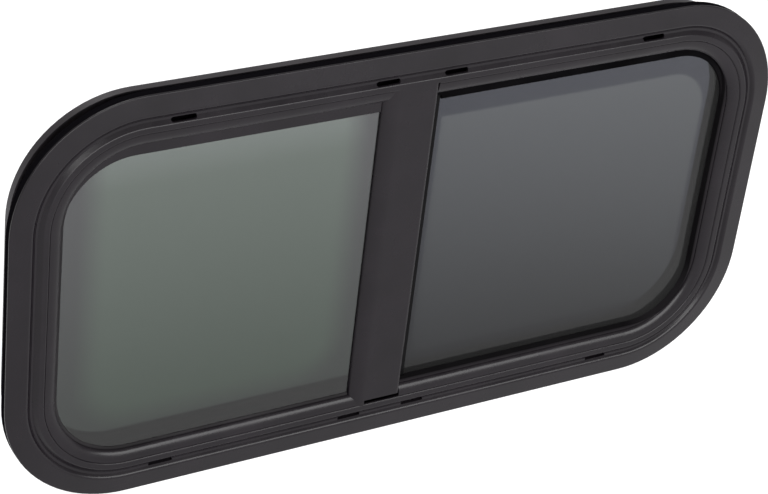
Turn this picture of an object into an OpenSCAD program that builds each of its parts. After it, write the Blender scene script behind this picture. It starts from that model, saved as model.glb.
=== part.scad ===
// Sliding caravan window: a bent frame clamped through the wall, one fixed pane and one sliding pane.
// The window stands upright. The wall's outer skin is the plane Y = 0, and the room is towards +Y.
// Sections of the ring profiles are drawn as [distance in from the flange's outer edge, depth].

/* [Overall] */
// Width of the flange, left to right
flange_w = 950; // [800:5:1400]
// Height of the flange
flange_h = 500; // [420:5:800]
// Outer corner radius of the flange
corner_r = 145; // [125:1:180]
// How far the sliding pane is pushed open
pane_open = 0; // [0:5:300]

/* [Wall] */
// Thickness of the caravan wall
wall_t = 25; // [18:1:40]
// How far the flange laps over the wall outside the cut-out
lap_w = 25; // [20:0.5:32]
// Thickness of the foam gasket between flange and wall
gasket_t = 9; // [6:0.5:15]

/* [Frame section] */
// Thickness of the flange and of the front skin
skin_t = 2; // [1.6:0.1:2.5]
// Thickness of the walls inside the section
web_t = 2; // [1.5:0.1:2.4]
// Thickness of the ribs between the glass channels
rib_t = 1.2; // [1:0.1:1.6]
// How far the flange's crest lies outside the cut-out's edge
crest_back = 3.1; // [2.5:0.1:6]
// Height of the crest in front of the flange's outer edge
crest_h = 2.8; // [2:0.1:5]
// Radius of the crest
crest_r = 4.5; // [2:0.1:5]
// Rounding of the flange's outer edge
edge_r = 1.2; // [0.4:0.1:1.5]
// Width of the slope behind the crest
slope_w = 4.9; // [4.5:0.1:6]
// Width of the valley between the two slopes
valley_w = 4.2; // [3:0.1:5]
// Height of the valley's floor in front of the flange's outer edge
valley_h = 0.3; // [0:0.1:1]
// Depth of the two fine lines along the valley
line_depth = 0.6; // [0.2:0.1:0.8]
// Width of the slope that rises to the flat band
rise_w = 5.3; // [5:0.1:8]
// Width of the flat band
band_w = 4.9; // [3:0.1:6]
// Height of the band in front of the flange's outer edge
band_h = 3.4; // [2:0.1:4]
// Height of the step from the band down to the lip
step_h = 1; // [0.5:0.1:1.2]
// Width of the rolled lip
roll_w = 13.7; // [12:0.1:18]
// Depth of the lip's inner edge behind the flange's outer edge
lip_depth = 4.3; // [3.5:0.1:6]
// How far the glass channels reach outwards from the lip's edge
channel_w = 7.6; // [7:0.1:10]
// How far the ribs stay back from the lip's edge
rib_setback = 1; // [0.5:0.1:2]
// Width of the channel that takes the clamp ring's screws
screw_channel_w = 4; // [3:0.5:5]

/* [Drain slots] */
// Length of a drain slot
slot_l = 29; // [20:1:40]
// Width of the slots in the upper run
upper_slot_w = 5.6; // [4:0.1:6]
// Width of the slots in the lower run
lower_slot_w = 4.4; // [3:0.1:6]
// Distance of the upper slots' middle line from the cut-out's edge
upper_slot_in = 6.7; // [6:0.1:8]
// Distance of the lower slots' middle line from the cut-out's edge
lower_slot_in = 4.3; // [4:0.1:7]
// Distance of the outermost slots' middles from where the round corners begin
slot_from_corner = 40; // [20:1:80]

/* [Glass] */
// Thickness of both panes
glass_t = 4; // [3:0.5:5]
// Rubber between the lip and the fixed pane
front_rubber_t = 1.6; // [1:0.1:2.5]
// How far that rubber shows past the lip
rubber_peek = 3.2; // [1:0.1:5]
// Rubber between the fixed pane and its rib
rear_rubber_t = 0.5; // [0.3:0.1:1]
// How far the fixed pane's edge stays off the bottom of its channel
fixed_edge_gap = 2; // [1.5:0.1:2.5]
// How far the sliding pane's edge stays off the bottom of its channel
pane_edge_gap = 4; // [3:0.1:4.5]
// Height of the strip that closes the top of the fixed opening
header_h = 12.4; // [6:0.1:16]
// How much tighter the strip's lower corner is than the lip's
header_tighter = 7.8; // [0:0.1:15]
// How far the infill rubber reaches inwards past the lip
infill_peek = 4.3; // [1:0.1:6]
// How much further its rear reaches down along the top
infill_drop = 8.9; // [4:0.1:12]
// How much tighter its corners are than the lip's
infill_tighter = 11.5; // [0:0.1:14]
// Running clearance between the sliding pane and its liners
run_gap = 0.3; // [0.2:0.05:0.5]

/* [Mullion] */
// Where the left edge of the mullion's flat front is, from the middle of the window
mullion_left = -35; // [-50:1:-20]
// Width of the mullion's front
mullion_w = 46.5; // [40:0.5:60]
// Width of the mullion's rolled left flank
flank_w = 19.2; // [14:0.1:24]
// Radius of the mullion's right edge
mullion_edge_r = 4.5; // [2.5:0.1:6]
// Open joint below the mullion's front
mullion_gap = 5.3; // [0.5:0.1:6]

/* [Sliding pane] */
// Width of the stile on the sliding pane's edge
stile_w = 30; // [24:1:40]
// How far the stile shows past the mullion
stile_peek = 12.5; // [6:0.5:14]
// Thickness of the stile's walls
stile_t = 1.2; // [1:0.1:1.6]
// Length of a nylon glide
glide_l = 45; // [30:5:60]
// Length of the latch housing
latch_l = 78; // [60:2:100]
// Depth of the latch housing
latch_depth = 9; // [6:0.5:12]

/* [Clamp ring] */
// How far the clamp ring laps over the wall outside the cut-out
ring_lap = 12; // [8:0.5:16]
// Width of the clamp ring
ring_w = 41; // [36:0.5:46]
// Depth of the clamp ring
ring_depth = 10; // [8:0.5:14]
// Thickness of the clamp ring
ring_t = 2; // [1.5:0.1:3]
// How far the ring's screws lie behind its rounded edges
screw_recess = 2.4; // [1:0.1:4]

/* [Hidden] */

$fn = 96;
eps = 0.01;
// Clearance between fixed parts that are slid together
fit_gap = 0.2;

// Depths, counted from the flange's outer edge into the wall
wall_face = skin_t + gasket_t;
ring_front = wall_face + wall_t;
ring_back = ring_front + ring_depth;
ring_plate = ring_back - screw_recess;
body_end = ring_plate - ring_t;
fixed_front = lip_depth + front_rubber_t;
fixed_back = fixed_front + glass_t;
rib_2 = fixed_back + rear_rubber_t;
slide_front = rib_2 + rib_t + 2;
slide_back = slide_front + glass_t;
rib_3 = slide_back + 2.4;
chamber_end = rib_3 + rib_t - web_t;
port_depth = chamber_end + web_t;
valley_back = line_depth - valley_h + skin_t;

// Distances in from the flange's outer edge
crest_in = lap_w - crest_back;
valley_in = crest_in + slope_w;
valley_out = valley_in + valley_w;
band_in = valley_out + rise_w;
band_out = band_in + band_w;
face_w = band_out + 2.3;
lip_edge = face_w + roll_w;
channel_in = lip_edge - channel_w;
rib_edge = lip_edge - rib_setback;
body_in = lap_w + web_t;
infill_edge = lip_edge + infill_peek;
fixed_edge = channel_in + fixed_edge_gap;
pane_edge = channel_in + pane_edge_gap;
port_in = (body_in + channel_in - web_t - screw_channel_w) / 2;
ring_inset = lap_w - ring_lap;
ring_reach = ring_inset + ring_w;

// Places along the window's width, from its middle
mullion_right = mullion_left + mullion_w;
flank_edge = mullion_left - flank_w;
stile_right = mullion_right + stile_peek;
stile_left = stile_right - stile_w;
slot_far = flange_w / 2 - corner_r - slot_from_corner;
slot_x = [-slot_far, mullion_left - 17, mullion_right + 20.5, slot_far];

// The origin lies halfway up the lower run of the gasket's back face
origin_up = flange_h / 2 - lap_w / 2;

// Stands a window that was drawn lying on its back upright, on the wall's skin
module stand() {
    translate([0, -wall_face, origin_up]) rotate([90, 0, 0]) children();
}

// Rounded rectangle some distance in from the flange's outer edge
module rounded(inset, r) {
    w = flange_w - 2 * inset;
    h = flange_h - 2 * inset;
    square([w - 2 * r, h], center = true);
    square([w, h - 2 * r], center = true);
    for (x = [-1, 1], y = [-1, 1])
        translate([x * (w / 2 - r), y * (h / 2 - r)]) circle(r);
}

// The window's outline, drawn in by some distance
module outline(inset) {
    rounded(inset, corner_r - inset);
}

// An opening whose top side is lowered and whose upper corners are tighter
module lowered_outline(inset, drop, tighter) {
    intersection() {
        rounded(inset, corner_r - inset - tighter);
        outline(lip_edge + eps);
        translate([0, -drop]) rounded(inset, corner_r - inset - tighter);
    }
}

// Keeps what lies between two places along the window's width
module between(x0, x1) {
    intersection() {
        children();
        translate([x0, -flange_h]) square([x1 - x0, 2 * flange_h]);
    }
}

// Plate from one depth to another
module layer(from, to) {
    translate([0, 0, -to]) linear_extrude(to - from) children();
}

// Turns a section drawn from the edge inwards into one drawn from the corner's centre
module radial() {
    translate([corner_r, 0]) mirror([1, 0]) children();
}

// Sweeps a section once round the window's outline
module swept_ring() {
    for (i = [0:3]) {
        along = i % 2 == 0 ? flange_h : flange_w;
        across = i % 2 == 0 ? flange_w : flange_h;
        rotate([0, 0, 90 * i])
            translate([across / 2 - corner_r, along / 2 - corner_r, 0]) {
                rotate_extrude(angle = 90) radial() children();
                rotate([90, 0, 0]) linear_extrude(along - 2 * corner_r) radial() children();
            }
    }
}

// Points of an arc of an ellipse round its centre, from one angle to another
function arc(centre, rx, ry, from, to, steps) =
    [for (i = [0:steps]) let (a = from + (to - from) * i / steps) centre + [rx * cos(a), ry * sin(a)]];

// The rounded edge of the flat band and the rolled lip behind its step
lip_line = concat(
    arc([band_out, band_h - 2], 2, 2, 90, 15, 5),
    arc([face_w, -lip_depth], roll_w, band_h - step_h + lip_depth, 90, 0, 14));

// How far the flange's face leans, from its edge up to its crest
face_tilt = atan(crest_h / crest_in);

// The front of the frame, from the flange's outer edge to the lip's inner edge
front_line = concat(
    arc([edge_r, -edge_r], edge_r, edge_r, 180, 90 + face_tilt, 5),
    arc([crest_in, crest_h - crest_r], crest_r, crest_r, 90 + face_tilt, 45, 8),
    [[valley_in, valley_h - line_depth], [valley_in + 0.4, valley_h - line_depth],
     [valley_in + 0.8, valley_h], [valley_out - 0.8, valley_h],
     [valley_out - 0.4, valley_h - line_depth], [valley_out, valley_h - line_depth]],
    arc([band_in, band_h - 2], 2, 2, 124, 90, 3),
    lip_line);

// Where the back of the flange turns behind its crest
crest_back_point = [crest_in - 0.1, crest_h - skin_t - 0.1];

module frame_section() {
    lip_back = band_h - step_h - skin_t - 0.3;
    // flange, valley, band and rolled lip
    polygon(concat(front_line,
        [[channel_in, -lip_depth], [channel_in, lip_back], [band_in + 0.7, band_h - skin_t],
         [valley_out + 1, -valley_back], [valley_in - 1.5, -valley_back], crest_back_point, [0, -skin_t]]));
    // wall through the cut-out
    translate([lap_w, -body_end]) square([web_t, body_end - valley_back + skin_t / 2]);
    // bottom of the channels and the plate that closes the chamber
    translate([channel_in - web_t, -port_depth]) square([web_t, port_depth + lip_back + skin_t / 2]);
    translate([lap_w, -port_depth]) square([channel_in - lap_w, web_t]);
    // ribs of the channels
    translate([channel_in - eps, -rib_2 - rib_t]) square([rib_edge - channel_in + eps, rib_t]);
    translate([channel_in - eps, -rib_3 - rib_t]) square([rib_edge - channel_in + eps, rib_t]);
    // two fins that take the screws of the clamp ring
    for (d = [port_in - rib_t, port_in + screw_channel_w])
        translate([d, -body_end]) square([rib_t, body_end - port_depth + eps]);
}

// Slot with round ends, through the front skin
module drain_slot(w) {
    r = w / 2;
    layer(-band_h, valley_back + 0.5) {
        square([slot_l - w, w], center = true);
        for (s = [-1, 1]) translate([s * (slot_l / 2 - r), 0]) circle(r, $fn = 32);
    }
}

module outer_frame() {
    color("#3a393c") stand() difference() {
        swept_ring() frame_section();
        for (x = slot_x) {
            translate([x, flange_h / 2 - lap_w - upper_slot_in, 0]) drain_slot(upper_slot_w);
            translate([x, -flange_h / 2 + lap_w + lower_slot_in, 0]) drain_slot(lower_slot_w);
        }
        // notch where the mullion's front is let into the lip
        layer(-band_h - 1, lip_depth)
            translate([mullion_left - fit_gap, -flange_h / 2 + face_w])
                square([mullion_w + 2 * fit_gap, flange_h - face_w - band_out]);
    }
}

module flange_gasket() {
    foam_in = lap_w - 0.5;
    color("#141318") stand() swept_ring()
        polygon([[0, -skin_t], crest_back_point, [foam_in, -valley_back],
                 [foam_in, -wall_face], [0, -wall_face]]);
}

// Section of the clamp ring: an outer wall, a plate that takes the screws and an inner hook
module ring_section() {
    tip = ring_t / 2;
    polygon(concat(
        [[ring_inset, -ring_front]],
        arc([ring_inset + tip, tip - ring_back], tip, tip, 180, 360, 8),
        [[ring_inset + ring_t, -ring_plate], [ring_reach - ring_t, -ring_plate]],
        arc([ring_reach - tip, tip - ring_back], tip, tip, 180, 360, 8),
        [[ring_reach, 4 - body_end], [ring_reach - ring_t, 4 - body_end], [ring_reach - ring_t, -body_end],
         [ring_inset + ring_t, -body_end], [ring_inset + ring_t, -ring_front]]));
}

module clamp_ring() {
    color("#48484b") stand() swept_ring() ring_section();
}

// Draws a section across the window's width and runs it up the window between two places
module upright(from, to) {
    translate([0, to, 0]) rotate([90, 0, 0]) linear_extrude(to - from) children();
}

// What lies behind the front of the frame's lip, down to some depth, at both ends of the mullion
module behind_lip(depth) {
    for (s = [-1, 1]) scale([1, s, 1])
        translate([flank_edge - 1, flange_h / 2, 0]) rotate([90, 0, 90]) linear_extrude(flank_w + 1)
            mirror([1, 0]) polygon(concat([[band_out - 1, band_h]], lip_line,
                                          [[lip_edge, -depth], [band_out - 1, -depth]]));
}

// Rounded front of the mullion that continues the frame's band, with its right edge turned back
module mullion_front_section() {
    r = mullion_edge_r;
    polygon(concat(
        [[mullion_left, band_h - skin_t], [mullion_left, band_h]],
        arc([mullion_right - r, band_h - r], r, r, 90, 0, 8),
        [[mullion_right, -skin_t], [mullion_right - web_t, -skin_t]],
        arc([mullion_right - r, band_h - r], r - web_t, r - skin_t, 0, 90, 4)));
}

// Rolled left flank of the mullion, hooked over the fixed pane's rubber
module flank_section() {
    depth = fixed_front - fit_gap;
    polygon(concat(
        arc([mullion_left, -depth], flank_w, band_h + depth, 90, 180, 14),
        [[flank_edge + 0.6, -depth], [flank_edge + 0.6, -lip_depth], [mullion_left + eps, -lip_depth],
         [mullion_left + eps, band_h]]));
}

// Walls of the mullion inside the frame's channels
module mullion_body_section() {
    inner = flank_edge + channel_w;
    difference() {
        translate([inner, -rib_2 - rib_t]) square([mullion_right - inner, rib_2 + rib_t - skin_t + eps]);
        translate([inner + web_t, -rib_2]) square([mullion_right - inner - 2 * web_t, rib_2]);
    }
}

module mullion_post() {
    face_end = flange_h / 2 - band_out;
    walls_end = flange_h / 2 - channel_in - fit_gap;
    rear_end = flange_h / 2 - rib_edge - fit_gap;
    rib_x = flank_edge + rib_setback;
    color("#3a393c") stand() {
        upright(-flange_h / 2 + face_w + mullion_gap, face_end - 0.05) mullion_front_section();
        difference() {
            upright(0.3 - face_end, face_end - 0.3) flank_section();
            behind_lip(rib_2);
        }
        difference() {
            union() {
                upright(-walls_end, walls_end) mullion_body_section();
                // rib behind the fixed pane
                layer(rib_2, rib_2 + rib_t) translate([rib_x, -rear_end])
                    square([channel_w - rib_setback + eps, 2 * rear_end]);
            }
            behind_lip(lip_depth);
            // room for the frame's rib
            for (s = [-1, 1]) scale([1, s, 1])
                translate([rib_x - 1, rear_end, -rib_2 - rib_t - 1])
                    cube([mullion_w + flank_w + 2, rib_edge, rib_t + 1 + fit_gap]);
        }
    }
}

module mullion_pile() {
    half = flange_h / 2 - rib_edge - 1;
    color("#141318") stand() layer(rib_2 + rib_t, slide_front - stile_t)
        translate([mullion_right - 8, -half]) square([6, 2 * half]);
}

// Outline of the strip that closes the top of the fixed opening, ended before it thins to nothing
module bead_outline() {
    intersection() {
        difference() {
            outline(lip_edge + 0.05);
            lowered_outline(lip_edge + 0.05, header_h, header_tighter);
        }
        translate([-flange_w / 2, flange_h / 2 - corner_r + header_tighter])
            square([flange_w / 2 + flank_edge - fit_gap, corner_r]);
    }
}

module top_bead() {
    color("#3a393c") stand() layer(lip_depth, fixed_front) bead_outline();
}

module fixed_outline(inset) {
    between(-flange_w / 2, flank_edge + lip_edge - inset) outline(inset);
}

module fixed_glass() {
    color("#5d6661", 0.55) stand() layer(fixed_front, fixed_back) fixed_outline(fixed_edge);
}

// Rounded rubber that shows past the lip, on the left and below the fixed pane
module rubber_lip() {
    from = lip_edge - 1.2;
    difference() {
        swept_ring() polygon(concat([[from, -fixed_front], [from, -lip_depth]],
            arc([lip_edge, -fixed_front], rubber_peek, front_rubber_t, 90, 0, 6)));
        layer(lip_depth - 1, fixed_front + 1) bead_outline();
        translate([flank_edge - fit_gap, -flange_h / 2, -rib_2]) cube([flange_w, flange_h, rib_2]);
    }
}

module fixed_glass_seal() {
    color("#141318") stand() {
        layer(lip_depth, fixed_front) difference() {
            fixed_outline(channel_in);
            fixed_outline(lip_edge - 1);
        }
        rubber_lip();
        layer(fixed_front, fixed_back) difference() {
            fixed_outline(channel_in);
            fixed_outline(fixed_edge);
        }
        layer(fixed_back, rib_2) difference() {
            fixed_outline(channel_in);
            fixed_outline(rib_edge - 0.5);
        }
    }
}

// Rubber that fills the empty front channel round the sliding opening and wipes the glass
module infill_seal() {
    color("#141318") stand() {
        layer(lip_depth, rib_2) between(mullion_right + fit_gap, flange_w / 2) difference() {
            outline(channel_in);
            lowered_outline(infill_edge, 0, infill_tighter);
        }
        layer(rib_2, slide_front - run_gap) between(stile_right + run_gap, flange_w / 2) difference() {
            outline(rib_edge + fit_gap);
            lowered_outline(infill_edge, infill_drop, infill_tighter);
        }
    }
}

// Section of a liner in the sliding pane's channel
module liner_section() {
    front = rib_2 + rib_t;
    difference() {
        translate([channel_in, -rib_3]) square([rib_edge - channel_in, rib_3 - front]);
        translate([channel_in + 1, -slide_back - run_gap])
            square([channel_w, glass_t + 2 * run_gap]);
    }
}

module straight_liner(from, to) {
    translate([from, flange_h / 2, 0]) rotate([90, 0, 90]) linear_extrude(to - from)
        mirror([1, 0]) liner_section();
}

module top_liner() {
    half = flange_w / 2 - corner_r;
    color("#1c1b1f") stand() straight_liner(-half, half);
}

module bottom_liner() {
    half = flange_w / 2 - corner_r;
    color("#1c1b1f") stand() mirror([0, 1, 0]) straight_liner(-half, half);
}

module jamb_liner() {
    color("#1c1b1f") stand() intersection() {
        swept_ring() liner_section();
        translate([flange_w / 2 - corner_r, -flange_h / 2, -rib_3 - 1]) cube([corner_r, flange_h, rib_3]);
    }
}

// Moves what belongs to the sliding pane as far as it is pushed open
module pushed_open() {
    translate([-pane_open, 0, 0]) children();
}

module sliding_glass() {
    color("#55565a", 0.6) stand() pushed_open() layer(slide_front, slide_back)
        between(stile_left + stile_t, flange_w / 2) outline(pane_edge);
}

module pane_stile() {
    half = flange_h / 2 - rib_edge - 0.5;
    color("#2c2b2e") stand() pushed_open() difference() {
        layer(slide_front - stile_t, slide_back + stile_t)
            translate([stile_left, -half]) square([stile_w, 2 * half]);
        layer(slide_front, slide_back)
            translate([stile_left + stile_t, -half - 1]) square([stile_w, 2 * half + 2]);
    }
}

// Nylon skid under the sliding pane, at a place along its width
module glide(x) {
    color("#e4e2da") stand() pushed_open() layer(slide_front, slide_back)
        translate([x, -flange_h / 2 + channel_in + 1]) square([glide_l, pane_edge_gap - 1]);
}

module glide_left() {
    glide(stile_right + 10);
}

module glide_right() {
    glide(flange_w / 2 - corner_r - glide_l - 10);
}

module latch_housing() {
    w = stile_w - 6;
    back = slide_back + stile_t;
    color("#1a1a1c") stand() pushed_open() difference() {
        layer(back, back + latch_depth) translate([stile_left + 3, -latch_l / 2]) square([w, latch_l]);
        layer(back + 2, back + latch_depth + 1)
            translate([stile_left + 3 + w / 2, 0]) square([w - 6, latch_l - 16], center = true);
    }
}

module latch_lever() {
    w = stile_w - 13;
    back = slide_back + stile_t;
    color("#2a2a2d") stand() pushed_open() layer(back + 2, back + latch_depth + 4)
        translate([stile_left + stile_w / 2, 0]) square([w, latch_l / 2], center = true);
}

// Rubber block in the channel that stops the pane
module travel_stop() {
    half = flange_w / 2 - corner_r;
    layer(slide_front, slide_back)
        translate([-half + 2, flange_h / 2 - pane_edge]) square([12, pane_edge_gap - 1]);
}

module stop_top() {
    color("#141318") stand() travel_stop();
}

module stop_bottom() {
    color("#141318") stand() mirror([0, 1, 0]) travel_stop();
}

outer_frame();
flange_gasket();
clamp_ring();
mullion_post();
mullion_pile();
top_bead();
fixed_glass();
fixed_glass_seal();
infill_seal();
top_liner();
bottom_liner();
jamb_liner();
sliding_glass();
pane_stile();
glide_left();
glide_right();
latch_housing();
latch_lever();
stop_top();
stop_bottom();
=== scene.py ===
# %% [markdown]
# # A sliding caravan window
# This lesson dresses a finished CAD model. The frame, the panes, the rubbers and the
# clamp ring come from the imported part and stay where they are. Here they get materials,
# the clamp ring gets its screws, and a small studio is built round them.

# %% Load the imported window
import bpy, math
from mathutils import Matrix, Vector


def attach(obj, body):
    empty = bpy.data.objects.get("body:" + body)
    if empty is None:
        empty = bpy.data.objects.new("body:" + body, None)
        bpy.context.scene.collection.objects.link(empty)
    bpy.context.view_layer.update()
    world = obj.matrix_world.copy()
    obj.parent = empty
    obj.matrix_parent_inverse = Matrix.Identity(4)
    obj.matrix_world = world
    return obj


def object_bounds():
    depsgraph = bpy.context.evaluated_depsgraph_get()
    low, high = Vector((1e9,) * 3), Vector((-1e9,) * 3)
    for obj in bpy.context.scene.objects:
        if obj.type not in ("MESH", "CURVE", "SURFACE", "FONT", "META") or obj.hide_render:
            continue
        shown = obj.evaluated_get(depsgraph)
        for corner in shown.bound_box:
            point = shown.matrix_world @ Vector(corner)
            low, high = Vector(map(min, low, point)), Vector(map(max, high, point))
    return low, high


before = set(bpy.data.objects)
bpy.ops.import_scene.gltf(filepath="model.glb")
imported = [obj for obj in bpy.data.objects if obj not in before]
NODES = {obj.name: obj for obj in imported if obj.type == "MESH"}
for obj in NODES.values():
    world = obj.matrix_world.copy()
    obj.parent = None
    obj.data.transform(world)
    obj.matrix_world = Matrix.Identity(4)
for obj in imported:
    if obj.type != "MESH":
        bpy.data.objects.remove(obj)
cad_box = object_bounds()
print("nodes:", len(NODES), "box:", [tuple(round(v, 4) for v in corner) for corner in cad_box])

# %% [markdown]
# ## Sizes that the materials and screws need
# The part's source is not there when this file runs, so the few sizes that the looks
# depend on are repeated here, in metres. The origin lies on the wall's skin, and the
# window's middle is 0.2375 m above it.

# %% Sizes of the window
MM = 0.001
FLANGE_W, FLANGE_H, CORNER_R = 950 * MM, 500 * MM, 145 * MM
MIDDLE_UP = 237.5 * MM
RING_PLATE_Y, RING_BACK_Y = 32.6 * MM, 35 * MM
SCREW_LINE_IN = 37.3 * MM
print("flange", FLANGE_W, "x", FLANGE_H)

# %% [markdown]
# ## The camera
# The place and turn of the camera were found by fitting the flange's outline to the
# photograph. Its three axes are written out as rows: to the right, down and forward.

# %% Camera of the photograph
CAMERA_AT = Vector((-1.25068, -1.91421, 1.65870))
RIGHT = Vector((0.87103, -0.47995, 0.10469))
DOWN = Vector((-0.17988, -0.50993, -0.84120))
FORWARD = Vector((0.45712, 0.71388, -0.53050))
SENSOR_W, IMAGE_W, FOCAL_PIXELS = 36.0, 768, 2405.9

camera_data = bpy.data.cameras.new("photo_camera")
camera_data.sensor_fit = "HORIZONTAL"
camera_data.sensor_width = SENSOR_W
camera_data.lens = FOCAL_PIXELS / IMAGE_W * SENSOR_W
camera = bpy.data.objects.new("photo_camera", camera_data)
bpy.context.scene.collection.objects.link(camera)
turn = Matrix((RIGHT, -DOWN, -FORWARD)).transposed().to_4x4()
camera.matrix_world = Matrix.Translation(CAMERA_AT) @ turn
bpy.context.scene.camera = camera
print("lens", round(camera_data.lens, 2), "mm")

# %% [markdown]
# ## The studio
# A black satin frame shows what surrounds it more than its own colour, so the light is
# planned first. The flat face and the panes mirror the floor in front of the window, so
# the floor is an evenly lit white table, and it glows a little of its own so that no
# shade falls on it. A low, wide lamp in front draws the bright streak along the lower
# roll. A dim sky and two high lamps fill the rest.

# %% Sky, floor and lamps
SKY_STRENGTH, FLOOR_SIZE = 0.5, 30
scene = bpy.context.scene
scene.view_settings.view_transform = "Standard"
world = bpy.data.worlds.new("studio_sky")
scene.world = world
world.use_nodes = True
world.node_tree.nodes["Background"].inputs["Color"].default_value = (1, 1, 1, 1)
world.node_tree.nodes["Background"].inputs["Strength"].default_value = SKY_STRENGTH


def softbox(name, at, towards, size, power):
    """A rectangular lamp that faces a point."""
    data = bpy.data.lights.new(name, "AREA")
    data.shape, data.size, data.size_y, data.energy = "RECTANGLE", size[0], size[1], power
    lamp = bpy.data.objects.new(name, data)
    bpy.context.scene.collection.objects.link(lamp)
    lamp.location = at
    lamp.rotation_euler = (Vector(towards) - Vector(at)).to_track_quat("-Z", "Y").to_euler()
    return lamp


softbox("softbox_front", (0.10, -3.2, 1.27), (0.10, 0, 0.10), (5.3, 1.9), 265)
softbox("softbox_behind", (-0.3, 1.6, 2.8), (0, 0.2, 0), (1.4, 1.4), 40)
softbox("softbox_above", (-0.5, -0.8, 3.0), (0, 0, 0), (1.0, 1.0), 10)

bpy.ops.object.select_all(action="DESELECT")
bpy.ops.mesh.primitive_plane_add(size=FLOOR_SIZE, location=(0, 0, cad_box[0][2]))
floor = bpy.context.object
floor.name = "studio_floor"
print("floor at", round(floor.location.z, 4))

# %% [markdown]
# ## Building blocks for the materials
# Most finishes here are one shader with small patterns behind it. These helpers make a
# material, add a node and join two sockets, so that each recipe below stays short.

# %% Helpers for node trees


def new_material(name):
    """A material with only its shader and output, and the object's own coordinates."""
    material = bpy.data.materials.new(name)
    material.use_nodes = True
    tree = material.node_tree
    shader = tree.nodes["Principled BSDF"]
    place = tree.nodes.new("ShaderNodeTexCoord").outputs["Object"]
    return material, tree, shader, place


def add(tree, kind, **values):
    """Adds a node and sets its named inputs and options."""
    node = tree.nodes.new(kind)
    for key, value in values.items():
        if key in node.inputs:
            node.inputs[key].default_value = value
        else:
            setattr(node, key, value)
    return node


def noise(tree, place, scale, detail=3.0, rough=0.5):
    """A soft random pattern, with its scale in waves per metre."""
    node = tree.nodes.new("ShaderNodeTexNoise")
    node.inputs["Scale"].default_value = scale
    node.inputs["Detail"].default_value = detail
    node.inputs["Roughness"].default_value = rough
    tree.links.new(place, node.inputs["Vector"])
    return node.outputs["Fac"]


def spread(tree, value, low, high, to_low, to_high):
    """Stretches part of a pattern's range to another range."""
    node = add(tree, "ShaderNodeMapRange")
    tree.links.new(value, node.inputs["Value"])
    names = ("From Min", "From Max", "To Min", "To Max")
    for name, number in zip(names, (low, high, to_low, to_high)):
        node.inputs[name].default_value = number
    return node.outputs["Result"]


def blend_colours(tree, mask, first, second):
    """Goes from one colour to another as the mask goes from 0 to 1."""
    node = add(tree, "ShaderNodeMix", data_type="RGBA")
    tree.links.new(mask, node.inputs[0])
    for socket, colour in ((node.inputs[6], first), (node.inputs[7], second)):
        if isinstance(colour, bpy.types.NodeSocket):
            tree.links.new(colour, socket)
        else:
            socket.default_value = (*colour, 1)
    return node.outputs[2]


def bump(tree, shader, height, strength, distance):
    """Turns a height pattern into shading relief."""
    node = add(tree, "ShaderNodeBump", Strength=strength, Distance=distance)
    tree.links.new(height, node.inputs["Height"])
    tree.links.new(node.outputs["Normal"], shader.inputs["Normal"])


print("helpers ready")

# %% [markdown]
# ## Shared effects as node groups
# Dust settles on what faces up, on the frame as on the rubber, and so the effect is
# built once as a group. The same holds for the fine grain of paint and moulded plastic.

# %% Dust and grain groups


def new_group(name, ins, outs):
    """A shader node group with float inputs and outputs."""
    group = bpy.data.node_groups.new(name, "ShaderNodeTree")
    for label, default in ins:
        socket = group.interface.new_socket(label, in_out="INPUT", socket_type="NodeSocketFloat")
        socket.default_value = default
    for label in outs:
        group.interface.new_socket(label, in_out="OUTPUT", socket_type="NodeSocketFloat")
    return group, group.nodes.new("NodeGroupInput"), group.nodes.new("NodeGroupOutput")


dust, dust_in, dust_out = new_group("settled_dust", [("Amount", 0.3)], ["Mask"])
dust_place = dust.nodes.new("ShaderNodeTexCoord").outputs["Object"]
facing = add(dust, "ShaderNodeSeparateXYZ")
dust.links.new(dust.nodes.new("ShaderNodeNewGeometry").outputs["Normal"], facing.inputs[0])
upward = spread(dust, facing.outputs["Z"], 0.1, 0.9, 0.0, 1.0)
patches = spread(dust, noise(dust, dust_place, 35, 5, 0.6), 0.35, 0.7, 0.2, 1.0)
settled = add(dust, "ShaderNodeMath", operation="MULTIPLY")
scaled = add(dust, "ShaderNodeMath", operation="MULTIPLY", use_clamp=True)
dust.links.new(upward, settled.inputs[0])
dust.links.new(patches, settled.inputs[1])
dust.links.new(settled.outputs[0], scaled.inputs[0])
dust.links.new(dust_in.outputs["Amount"], scaled.inputs[1])
dust.links.new(scaled.outputs[0], dust_out.inputs["Mask"])

grain, grain_in, grain_out = new_group(
    "surface_grain", [("Fine", 1500.0), ("Coarse", 250.0), ("Coarse share", 0.3)],
    ["Height", "Patches"])
grain_place = grain.nodes.new("ShaderNodeTexCoord").outputs["Object"]
fine = add(grain, "ShaderNodeTexNoise", Detail=2.0)
coarse = add(grain, "ShaderNodeTexNoise", Detail=2.0)
for label, node in (("Fine", fine), ("Coarse", coarse)):
    grain.links.new(grain_place, node.inputs["Vector"])
    grain.links.new(grain_in.outputs[label], node.inputs["Scale"])
both = add(grain, "ShaderNodeMix")
grain.links.new(grain_in.outputs["Coarse share"], both.inputs[0])
grain.links.new(fine.outputs["Fac"], both.inputs[2])
grain.links.new(coarse.outputs["Fac"], both.inputs[3])
grain.links.new(both.outputs[0], grain_out.inputs["Height"])
grain.links.new(noise(grain, grain_place, 14, 4, 0.55), grain_out.inputs["Patches"])
print("groups:", [g.name for g in bpy.data.node_groups])


def use_group(tree, group, **values):
    """Places a group in a material with its own values."""
    node = tree.nodes.new("ShaderNodeGroup")
    node.node_tree = group
    for key, value in values.items():
        node.inputs[key.replace("_", " ")].default_value = value
    return node


# %% [markdown]
# ## Satin powder coat
# The frame and mullion are aluminium with a black powder coat. Such paint has a very
# low orange-peel relief, and its gloss wanders a little from patch to patch. The colour
# itself is nearly black, and the grey that the eye sees is the pale floor's reflection.

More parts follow.
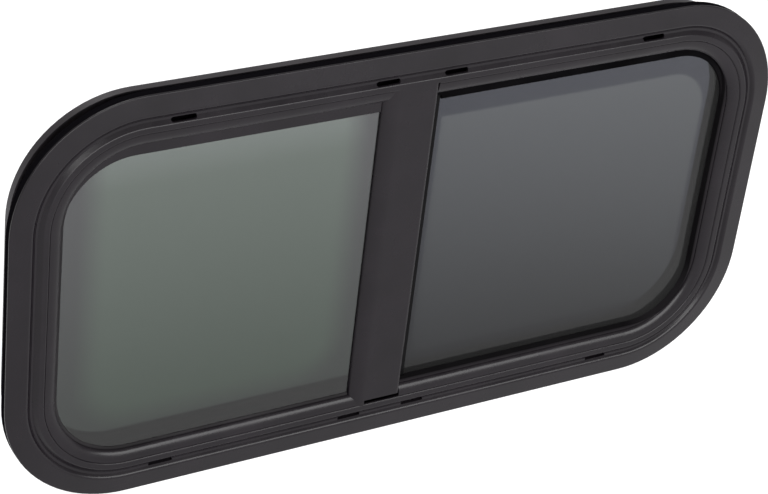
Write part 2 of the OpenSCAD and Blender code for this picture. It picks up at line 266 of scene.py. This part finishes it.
# %% Powder coat
DUST_ON_PAINT = (0.07, 0.068, 0.066)


def powder_coat(name, colour, rough, peel, level=0.205):
    """Satin paint with orange peel, wandering gloss and a little dust."""
    material, tree, shader, _ = new_material(name)
    paint = use_group(tree, grain, Fine=1400, Coarse=320, Coarse_share=0.55)
    specks = use_group(tree, dust, Amount=0.08)
    lighter = tuple(c * 1.5 for c in colour)
    uneven = spread(tree, paint.outputs["Patches"], 0.3, 0.7, 0, 1)
    tone = blend_colours(tree, uneven, colour, lighter)
    dusty = blend_colours(tree, specks.outputs["Mask"], tone, DUST_ON_PAINT)
    tree.links.new(dusty, shader.inputs["Base Color"])
    gloss = spread(tree, paint.outputs["Patches"], 0.25, 0.75, rough - 0.04, rough + 0.05)
    tree.links.new(gloss, shader.inputs["Roughness"])
    shader.inputs["Specular IOR Level"].default_value = level
    bump(tree, shader, paint.outputs["Height"], 0.25, peel)
    return material


frame_paint = powder_coat("frame_powder_coat", (0.0034, 0.0024, 0.0036), 0.26, 0.00004)
ring_paint = powder_coat("ring_powder_coat", (0.0225, 0.0195, 0.0225), 0.44, 0.00005)
# Painted shade: the stile sits deep in the frame's shade, and its coat is a darker, duller copy of
# the frame's paint.
shaded_stile_paint = powder_coat("stile_coat_painted_shade", (0.0020, 0.0019, 0.0021), 0.50, 0.00003, 0.04)
print("paints ready")

# %% [markdown]
# ## Rubber, foam and pile
# The seals are matt black rubber with a faint moulding grain. The gasket behind the
# flange is closed-cell foam, and a cut foam face shows its cells, so a cell pattern
# gives it relief. The pile strip is a brush of short fibres.

# %% Soft blacks
DUST_ON_RUBBER = (0.07, 0.068, 0.065)


def rubber(name, colour, rough, level):
    """Matt rubber with fine grain and dust."""
    material, tree, shader, _ = new_material(name)
    skin = use_group(tree, grain, Fine=2600, Coarse=600, Coarse_share=0.4)
    specks = use_group(tree, dust, Amount=0.03)
    worn = tuple(c * 1.8 for c in colour)
    uneven = spread(tree, skin.outputs["Patches"], 0.35, 0.7, 0, 1)
    tone = blend_colours(tree, uneven, colour, worn)
    dusty = blend_colours(tree, specks.outputs["Mask"], tone, DUST_ON_RUBBER)
    tree.links.new(dusty, shader.inputs["Base Color"])
    gloss = spread(tree, skin.outputs["Patches"], 0.3, 0.7, rough - 0.06, rough + 0.06)
    tree.links.new(gloss, shader.inputs["Roughness"])
    shader.inputs["Specular IOR Level"].default_value = level
    bump(tree, shader, skin.outputs["Height"], 0.4, 0.00006)
    return material


def foam(name, colour):
    """Cut closed-cell foam."""
    material, tree, shader, place = new_material(name)
    cells = add(tree, "ShaderNodeTexVoronoi", Scale=900.0, Randomness=1.0)
    tree.links.new(place, cells.inputs["Vector"])
    # Painted shade: the pores are darker than the cell walls round them.
    pore_shade = spread(tree, cells.outputs["Distance"], 0.0, 0.6, 1.0, 0.0)
    light = tuple(c * 1.8 for c in colour)
    tree.links.new(blend_colours(tree, pore_shade, light, colour), shader.inputs["Base Color"])
    gloss = spread(tree, noise(tree, place, 60), 0.3, 0.7, 0.85, 0.98)
    tree.links.new(gloss, shader.inputs["Roughness"])
    shader.inputs["Specular IOR Level"].default_value = 0.0
    bump(tree, shader, cells.outputs["Distance"], 0.7, 0.0004)
    return material


def pile(name, colour):
    """Short fibres that stand out from their strip."""
    material, tree, shader, place = new_material(name)
    stretched = add(tree, "ShaderNodeMapping", Scale=(1.0, 0.08, 1.0))
    tree.links.new(place, stretched.inputs["Vector"])
    fibres = noise(tree, stretched.outputs["Vector"], 4200, 4, 0.7)
    tips = tuple(c * 3 for c in colour)
    tone = blend_colours(tree, spread(tree, fibres, 0.4, 0.65, 0, 1), colour, tips)
    tree.links.new(tone, shader.inputs["Base Color"])
    tree.links.new(spread(tree, fibres, 0.3, 0.7, 0.8, 1.0), shader.inputs["Roughness"])
    shader.inputs["Sheen Weight"].default_value = 0.3
    bump(tree, shader, fibres, 0.8, 0.0003)
    return material


seal_rubber = rubber("seal_rubber", (0.0080, 0.0074, 0.0080), 0.62, 0.05)
gasket_foam = foam("gasket_foam", (0.0020, 0.0018, 0.0023))
brush_pile = pile("brush_pile", (0.006, 0.006, 0.0065))
print("soft blacks ready")

# %% [markdown]
# ## Tinted glass
# Both panes are tempered safety glass. The fixed one is a greenish privacy tint and the
# sliding one is a darker grey. Each keeps a plain transmission weight, and the tint is
# the shader's base colour. A soft darker band along each pane's edge is painted shade
# from the frame round it; the band is made from the distance to a rounded rectangle, in
# the pane's own coordinates. The tint is also painted darker towards the pane's foot, as
# painted shade, and lighter in a crown just under its head, as painted light. The sliding
# pane has one more narrow dark strip of painted shade, beside its meeting stile.

# %% Distance to a rounded rectangle
band, band_in, band_out = new_group(
    "edge_band", [("Middle X", 0.0), ("Middle Z", 0.2375), ("Half width", 0.2),
                  ("Half height", 0.15), ("Corner", 0.06), ("Softness", 0.01)], ["Mask"])
band_place = add(band, "ShaderNodeSeparateXYZ")
band.links.new(band.nodes.new("ShaderNodeTexCoord").outputs["Object"], band_place.inputs[0])


def sum_up(tree, operation, first, second, clamp=False):
    """One step of arithmetic between two sockets or numbers."""
    node = add(tree, "ShaderNodeMath", operation=operation, use_clamp=clamp)
    for socket, value in zip(node.inputs, (first, second)):
        if isinstance(value, bpy.types.NodeSocket):
            tree.links.new(value, socket)
        elif value is not None:
            socket.default_value = value
    return node.outputs[0]


def beyond(axis, middle, half):
    """How far a point lies beyond the straight part of a side."""
    offset = sum_up(band, "SUBTRACT", band_place.outputs[axis], band_in.outputs[middle])
    straight = sum_up(band, "SUBTRACT", band_in.outputs[half], band_in.outputs["Corner"])
    return sum_up(band, "SUBTRACT", sum_up(band, "ABSOLUTE", offset, None), straight)


past_x = beyond("X", "Middle X", "Half width")
past_z = beyond("Z", "Middle Z", "Half height")
out_x, out_z = sum_up(band, "MAXIMUM", past_x, 0.0), sum_up(band, "MAXIMUM", past_z, 0.0)
square_x, square_z = sum_up(band, "MULTIPLY", out_x, out_x), sum_up(band, "MULTIPLY", out_z, out_z)
outside = sum_up(band, "SQRT", sum_up(band, "ADD", square_x, square_z), None)
inside = sum_up(band, "MINIMUM", sum_up(band, "MAXIMUM", past_x, past_z), 0.0)
from_middle = sum_up(band, "ADD", outside, inside)
distance = sum_up(band, "SUBTRACT", from_middle, band_in.outputs["Corner"])
softened = sum_up(band, "DIVIDE", distance, band_in.outputs["Softness"])
ramp = sum_up(band, "ADD", softened, 0.5, clamp=True)
band.links.new(ramp, band_out.inputs["Mask"])
print("edge band group has", len(band.nodes), "nodes")

# %% Glass of the two panes
TINT_FROM, TINT_TO = MIDDLE_UP - 0.17, MIDDLE_UP + 0.17
CROWN_FROM, CROWN_TO = MIDDLE_UP + 0.14, MIDDLE_UP + 0.18
STRIP_BLUR = 2 * MM


def tinted_glass(name, foot_shaded_tint, head_tint, crown_painted_light, edge_shade_share, mirror, haze,
                 rectangle, strip_x=None):
    """Polished glass with painted shade and light: its tint is painted darker towards its foot and
    in a soft band along its edge, and lighter under its head.
    """
    material, tree, shader, place = new_material(name)
    axes = add(tree, "ShaderNodeSeparateXYZ")
    tree.links.new(place, axes.inputs[0])
    # Painted shade: the tint is blended darker from the head down to the foot.
    height = spread(tree, axes.outputs["Z"], TINT_FROM, TINT_TO, 0, 1)
    edge = use_group(tree, band, **rectangle)
    # Painted light: a lighter crown of tint just under the pane's head.
    crown = spread(tree, axes.outputs["Z"], CROWN_FROM, CROWN_TO, 0, 1)
    middle = blend_colours(tree, height, foot_shaded_tint, head_tint)
    # Painted shade: the border band is the same tint made darker by the edge shares, as shade from
    # the frame round the pane.
    painted_edge_shade = blend_colours(tree, height, *(
        tuple(c * share for c, share in zip(tint, edge_shade_share)) for tint in (foot_shaded_tint, head_tint)))
    middle = blend_colours(tree, crown, middle, crown_painted_light)
    mask = edge.outputs["Mask"]
    # Painted shade: a narrow dark strip beside the sliding pane's meeting stile.
    if strip_x is not None:
        strip = spread(tree, axes.outputs["X"], strip_x - STRIP_BLUR, strip_x + STRIP_BLUR, 1, 0)
        mask = sum_up(tree, "MAXIMUM", mask, strip)
    tree.links.new(blend_colours(tree, mask, middle, painted_edge_shade), shader.inputs["Base Color"])
    shader.inputs["Transmission Weight"].default_value = 1.0
    shader.inputs["IOR"].default_value = 1.5
    shader.inputs["Specular Tint"].default_value = (mirror, mirror, mirror, 1)
    shader.inputs["Sheen Weight"].default_value = haze
    smear = noise(tree, place, 9, 4, 0.6)
    tree.links.new(spread(tree, smear, 0.4, 0.75, 0.0, 0.05), shader.inputs["Roughness"])
    return material


# The foot tints, edge shares and crown tints below set how strong the painted shade and light are
# on each pane.
green_glass = tinted_glass(
    "green_tinted_glass", foot_shaded_tint=(0.031, 0.046, 0.034), head_tint=(0.100, 0.120, 0.106),
    crown_painted_light=(0.134, 0.153, 0.144), edge_shade_share=(0.65, 0.55, 0.66), mirror=0.9, haze=0.02,
    rectangle=dict(Middle_X=-0.230, Middle_Z=0.2675, Half_width=0.152, Half_height=0.182,
                   Corner=0.05, Softness=0.03))
grey_glass = tinted_glass(
    "grey_tinted_glass", foot_shaded_tint=(0.008, 0.009, 0.011), head_tint=(0.080, 0.085, 0.092),
    crown_painted_light=(0.080, 0.085, 0.092), edge_shade_share=(0.50, 0.50, 0.58), mirror=0.15, haze=0.22,
    rectangle=dict(Middle_X=0.1705, Middle_Z=0.2343, Half_width=0.2205, Half_height=0.157,
                   Corner=0.05, Softness=0.003), strip_x=0.031)
print("glass ready")

# %% [markdown]
# ## Rubber round the sliding pane, with painted sheen
# The rubber that fills the lip of the sliding opening has no shine of its own. Along the
# lip, at the foot and the sides it is painted grey, as painted light that stands in for a
# sheen where it faces the light. Up at the head, in the lip's shade, it is left black.
# The distance that made the glass's painted shade band also makes this mask.

# %% Rubber with painted sheen
SHEEN_EDGE_IN, SHEEN_EDGE_BLUR = 60.5 * MM, 6 * MM
SHADE_FROM, SHADE_TO = MIDDLE_UP + 0.10, MIDDLE_UP + 0.17
# Painted light: the grey that the lip, foot and sides get in place of a sheen.
PAINTED_SHEEN_GREY = (0.0135, 0.0122, 0.0135)
infill_rubber = rubber("rubber_with_painted_sheen", (0.0015, 0.0014, 0.0016), 0.62, 0.0)
tree = infill_rubber.node_tree
shader = tree.nodes["Principled BSDF"]
own_tone = shader.inputs["Base Color"].links[0].from_socket
axes = add(tree, "ShaderNodeSeparateXYZ")
tree.links.new(tree.nodes.new("ShaderNodeTexCoord").outputs["Object"], axes.inputs[0])
rim = use_group(tree, band, Middle_X=0, Middle_Z=MIDDLE_UP, Half_width=FLANGE_W / 2 - SHEEN_EDGE_IN,
                Half_height=FLANGE_H / 2 - SHEEN_EDGE_IN, Corner=CORNER_R - SHEEN_EDGE_IN, Softness=SHEEN_EDGE_BLUR)
below_head = spread(tree, axes.outputs["Z"], SHADE_FROM, SHADE_TO, 1, 0)
# Painted light along the lip, foot and sides, fading out towards the head, which stays black in
# its shade.
sheen_painted = sum_up(tree, "MULTIPLY", rim.outputs["Mask"], below_head)
tree.links.new(blend_colours(tree, sheen_painted, own_tone, PAINTED_SHEEN_GREY), shader.inputs["Base Color"])
print("faded rubber ready")

# %% [markdown]
# ## Nylon and moulded plastic
# The glides are off-white nylon, which lets a little light in. The latch is moulded
# black plastic, whose mould was given a fine spark-eroded grain.

# %% Plastics


def moulded(name, colour, rough, relief):
    """Moulded plastic with a fine mould grain."""
    material, tree, shader, _ = new_material(name)
    skin = use_group(tree, grain, Fine=3200, Coarse=1100, Coarse_share=0.5)
    specks = use_group(tree, dust, Amount=0.2)
    second = tuple(c * 1.25 for c in colour)
    uneven = spread(tree, skin.outputs["Patches"], 0.3, 0.7, 0, 1)
    tone = blend_colours(tree, uneven, colour, second)
    pale = tuple(c * 0.6 + 0.06 for c in colour)
    dusty = blend_colours(tree, specks.outputs["Mask"], tone, pale)
    tree.links.new(dusty, shader.inputs["Base Color"])
    gloss = spread(tree, skin.outputs["Height"], 0.35, 0.65, rough - 0.05, rough + 0.07)
    tree.links.new(gloss, shader.inputs["Roughness"])
    bump(tree, shader, skin.outputs["Height"], 0.5, relief)
    return material


nylon = moulded("glide_nylon", (0.62, 0.60, 0.54), 0.48, 0.00003)
nylon.node_tree.nodes["Principled BSDF"].inputs["Subsurface Weight"].default_value = 0.15
latch_plastic = moulded("latch_plastic", (0.011, 0.011, 0.012), 0.42, 0.00008)
liner_plastic = moulded("liner_plastic", (0.008, 0.008, 0.009), 0.55, 0.00004)
print("plastics ready")

# %% [markdown]
# ## The clamp ring's screws
# From the room side the ring is pulled against the wall by pan-head screws with a cross
# recess. One is modelled: a cylinder lies on the ring's plate, its top edge is rounded
# with a bevel into a low dome, and a cross of two thin wedges is cut out of it. The
# wedges are cubes whose lower faces are drawn in. All screws are copies of this one,
# each with its own mesh and with its cross turned another way, as real screws end up.

# %% One screw
HEAD_R, HEAD_H, DOME_R, SUNK = 3.6 * MM, 2.2 * MM, 1.5 * MM, 0.1 * MM
CROSS_L, CROSS_W, CROSS_DEEP, CROSS_TAPER = 4.2 * MM, 0.9 * MM, 1.5 * MM, 0.45
bpy.ops.object.select_all(action="DESELECT")
bpy.ops.mesh.primitive_cylinder_add(vertices=40, radius=HEAD_R, depth=HEAD_H + SUNK,
                                    location=(0, 0, (HEAD_H - SUNK) / 2))
screw = bpy.context.object
screw.name = "ring_screw"


def select_flat(piece, height):
    """Selects the faces of a piece that lie flat at a height."""
    bpy.ops.mesh.select_all(action="DESELECT")
    bpy.ops.object.mode_set(mode="OBJECT")
    for face in piece.data.polygons:
        middle = piece.matrix_world @ face.center
        face.select = abs(middle.z - height) < 1e-6 and abs(face.normal.z) > 0.9
    bpy.ops.object.mode_set(mode="EDIT")


bpy.ops.object.mode_set(mode="EDIT")
select_flat(screw, HEAD_H)
bpy.ops.mesh.bevel(offset=DOME_R, segments=6, profile=0.5, affect="EDGES")
bpy.ops.object.mode_set(mode="OBJECT")

for turned in (0, 90):
    bpy.ops.object.select_all(action="DESELECT")
    bpy.ops.mesh.primitive_cube_add(size=1, location=(0, 0, HEAD_H),
                                    scale=(CROSS_L, CROSS_W, 2 * CROSS_DEEP),
                                    rotation=(0, 0, math.radians(turned)))
    wedge = bpy.context.object
    bpy.ops.object.transform_apply(location=True, rotation=True, scale=True)
    bpy.ops.object.mode_set(mode="EDIT")
    select_flat(wedge, HEAD_H - CROSS_DEEP)
    bpy.ops.transform.resize(value=(CROSS_TAPER, CROSS_TAPER, 1), center_override=(0, 0, 0))
    bpy.ops.object.mode_set(mode="OBJECT")
    cut = screw.modifiers.new("cross", "BOOLEAN")
    cut.operation, cut.solver, cut.object = "DIFFERENCE", "EXACT", wedge
    bpy.context.view_layer.objects.active = screw
    bpy.ops.object.modifier_apply(modifier="cross")
    bpy.data.objects.remove(wedge)

bpy.ops.object.select_all(action="DESELECT")
screw.select_set(True)
bpy.context.view_layer.objects.active = screw
bpy.ops.object.transform_apply(location=True, rotation=True, scale=True)
bpy.ops.object.shade_smooth_by_angle(angle=math.radians(35))
screw_size = [round(v / MM, 2) for v in screw.dimensions]
print("screw:", len(screw.data.polygons), "faces,", screw_size, "mm")

# %% [markdown]
# The screws stand in a line that follows the ring. Along the straight sides they are
# evenly spaced, and one more sits in the middle of each round corner.

# %% All screws on the ring
GAPS_TO_CORNER, TURN_STEP = 3, 37
ALONG, UP_SIDE = FLANGE_W / 2 - SCREW_LINE_IN, FLANGE_H / 2 - SCREW_LINE_IN
CORNER_X, CORNER_Z = FLANGE_W / 2 - CORNER_R, FLANGE_H / 2 - CORNER_R
steps = range(-GAPS_TO_CORNER, GAPS_TO_CORNER + 1)
places = [(step * CORNER_X / GAPS_TO_CORNER, side * UP_SIDE) for side in (-1, 1) for step in steps]
places += [(side * ALONG, step * CORNER_Z) for side in (-1, 1) for step in (-1, 0, 1)]
diagonal = (CORNER_R - SCREW_LINE_IN) * math.sqrt(0.5)
places += [(side_x * (CORNER_X + diagonal), side_z * (CORNER_Z + diagonal))
           for side_x in (-1, 1) for side_z in (-1, 1)]
face_the_room = Matrix.Rotation(math.radians(-90), 4, "X")
screws = []
for number in range(len(places)):
    piece = screw if number == 0 else bpy.data.objects.new("ring_screw", screw.data.copy())
    if number:
        bpy.context.scene.collection.objects.link(piece)
    screws.append(piece)
for number, (piece, (x, z)) in enumerate(zip(screws, places)):
    own_turn = Matrix.Rotation(math.radians(number * TURN_STEP % 90), 4, "Z")
    spot = Matrix.Translation((x, RING_PLATE_Y, MIDDLE_UP + z))
    piece.data.transform(spot @ face_the_room @ own_turn)
    piece.name = f"ring_screw_{number + 1:02d}"
    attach(piece, "root")
highest = max(v.co.y for v in screws[0].data.vertices)
print("screws:", len(screws), "up to y =", round(highest, 4), "of", RING_BACK_Y)

# %% [markdown]
# ## Zinc-plated steel
# The screws are plated, which gives a soft metal shine with a slight bluish cast. The
# driver has rubbed the plating, and it dulls in patches.

# %% Zinc on the screws
DULL_ZINC, BRIGHT_ZINC = (0.42, 0.43, 0.46), (0.60, 0.61, 0.62)
zinc, tree, shader, _ = new_material("zinc_plating")
plating = use_group(tree, grain, Fine=5200, Coarse=900, Coarse_share=0.5)
rubbed = spread(tree, plating.outputs["Height"], 0.35, 0.65, 0, 1)
tone = blend_colours(tree, rubbed, DULL_ZINC, BRIGHT_ZINC)
tree.links.new(tone, shader.inputs["Base Color"])
shader.inputs["Metallic"].default_value = 1.0
gloss = spread(tree, plating.outputs["Height"], 0.3, 0.7, 0.26, 0.48)
tree.links.new(gloss, shader.inputs["Roughness"])
bump(tree, shader, plating.outputs["Height"], 0.3, 0.00002)
for piece in screws:
    piece.data.materials.append(zinc)
print("zinc ready")

# %% [markdown]
# ## Materials onto the CAD nodes
# A CAD node keeps its mesh and its place. Only what is in its material slots changes.

# %% Dress the nodes
FINISH = {
    frame_paint: ["outer_frame", "mullion_post", "top_bead"],
    ring_paint: ["clamp_ring"],
    shaded_stile_paint: ["pane_stile"],
    seal_rubber: ["fixed_glass_seal", "stop_top", "stop_bottom"],
    infill_rubber: ["infill_seal"],
    gasket_foam: ["flange_gasket"],
    brush_pile: ["mullion_pile"],
    green_glass: ["fixed_glass"],
    grey_glass: ["sliding_glass"],
    nylon: ["glide_left", "glide_right"],
    latch_plastic: ["latch_housing", "latch_lever"],
    liner_plastic: ["top_liner", "bottom_liner", "jamb_liner"],
}
for material, names in FINISH.items():
    for name in names:
        for slot in NODES[name].material_slots:
            slot.material = material
dressed = sum(len(names) for names in FINISH.values())
print("dressed", dressed, "of", len(NODES), "nodes")

# %% [markdown]
# ## The floor's material
# A pale matt floor with hardly any pattern. It glows evenly, as a light table does.

# %% Floor
TABLE_GLOW = 0.88
floor_material, tree, shader, place = new_material("pale_floor")
shader.inputs["Roughness"].default_value = 0.9
shader.inputs["Specular IOR Level"].default_value = 0.1
table = blend_colours(tree, noise(tree, place, 6), (0.30, 0.30, 0.30), (0.32, 0.32, 0.32))
tree.links.new(table, shader.inputs["Base Color"])
shader.inputs["Emission Color"].default_value = (1, 1, 1, 1)
shader.inputs["Emission Strength"].default_value = TABLE_GLOW
floor.data.materials.append(floor_material)
print("floor ready")
